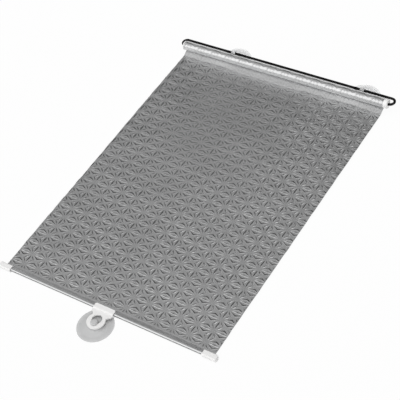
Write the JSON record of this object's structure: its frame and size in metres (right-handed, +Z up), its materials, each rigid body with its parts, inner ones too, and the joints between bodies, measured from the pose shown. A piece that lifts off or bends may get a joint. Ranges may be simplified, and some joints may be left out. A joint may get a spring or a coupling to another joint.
{
  "type": "retractable car window sunshade",
  "caption": "Spring roller sunshade for a car side window: an embossed silver film on a tube in a bent wire bracket, held by suction cups, with a weighted rail and a pull clip",
  "frame": {"origin": "middle of the whole outline, on the surface that the cups stand on", "axes": "X along the roller and the rail, Y from the rail to the roller, Z up off the window or table"},
  "size_m": [0.43, 0.6518, 0.0252],
  "materials": {
    "film": "silver metallised film with a pressed pattern of stars",
    "white_plastic": "glossy white moulding",
    "clear_plastic": "soft clear plastic, slightly grey and milky",
    "black_coating": "black plastic coating on steel wire",
    "steel": "plain drawn steel"
  },
  "bodies": {
    "bracket": {"bracket_wire": "black_coating", "spring_arbor": "white_plastic", "film_lead": "film"},
    "roller": {"roller_tube": "steel", "end_plug_left": "white_plastic", "end_plug_right": "white_plastic", "arbor_bush": "white_plastic", "torsion_spring": "steel", "film_roll": "film"},
    "rail": {"film_sheet": "film", "film_hem": "film", "rail_rod": "steel", "rail_cap_left": "white_plastic", "rail_cap_right": "white_plastic"},
    "clip": {"pull_clip": "white_plastic"},
    "lower_cup": {"bottom_cup": "clear_plastic"},
    "left_cup": {"wire_cup_left": "clear_plastic"},
    "right_cup": {"wire_cup_right": "clear_plastic"}
  },
  "joints": [
    {"name": "rail_slide", "type": "slide", "parent": "bracket", "child": "rail", "axis": [0, 1, 0], "range_m": [0, 0.52], "deforming": ["film_sheet"]},
    {"name": "roller_spin", "type": "hinge", "parent": "bracket", "child": "roller", "pos_m": [0, 0.2816, 0.017], "axis": [1, 0, 0], "continuous": true, "deforming": ["torsion_spring"]},
    {"name": "clip_slide", "type": "slide", "parent": "rail", "child": "clip", "axis": [1, 0, 0], "range_m": [-0.169, 0.16]},
    {"name": "bottom_cup_spin", "type": "hinge", "parent": "clip", "child": "lower_cup", "pos_m": [0.002, -0.2959, 0.007], "axis": [0, 0, 1], "continuous": true},
    {"name": "wire_cup_left_swivel", "type": "hinge", "parent": "bracket", "child": "left_cup", "pos_m": [-0.108, 0.2959, 0.017], "axis": [1, 0, 0], "range_deg": [0, 100]},
    {"name": "wire_cup_right_swivel", "type": "hinge", "parent": "bracket", "child": "right_cup", "pos_m": [0.15, 0.2959, 0.017], "axis": [1, 0, 0], "range_deg": [0, 100]}
  ],
  "couplings": [
    {"joint": "roller_spin", "follows": "rail_slide", "rad_per_m": 108.7}
  ]
}
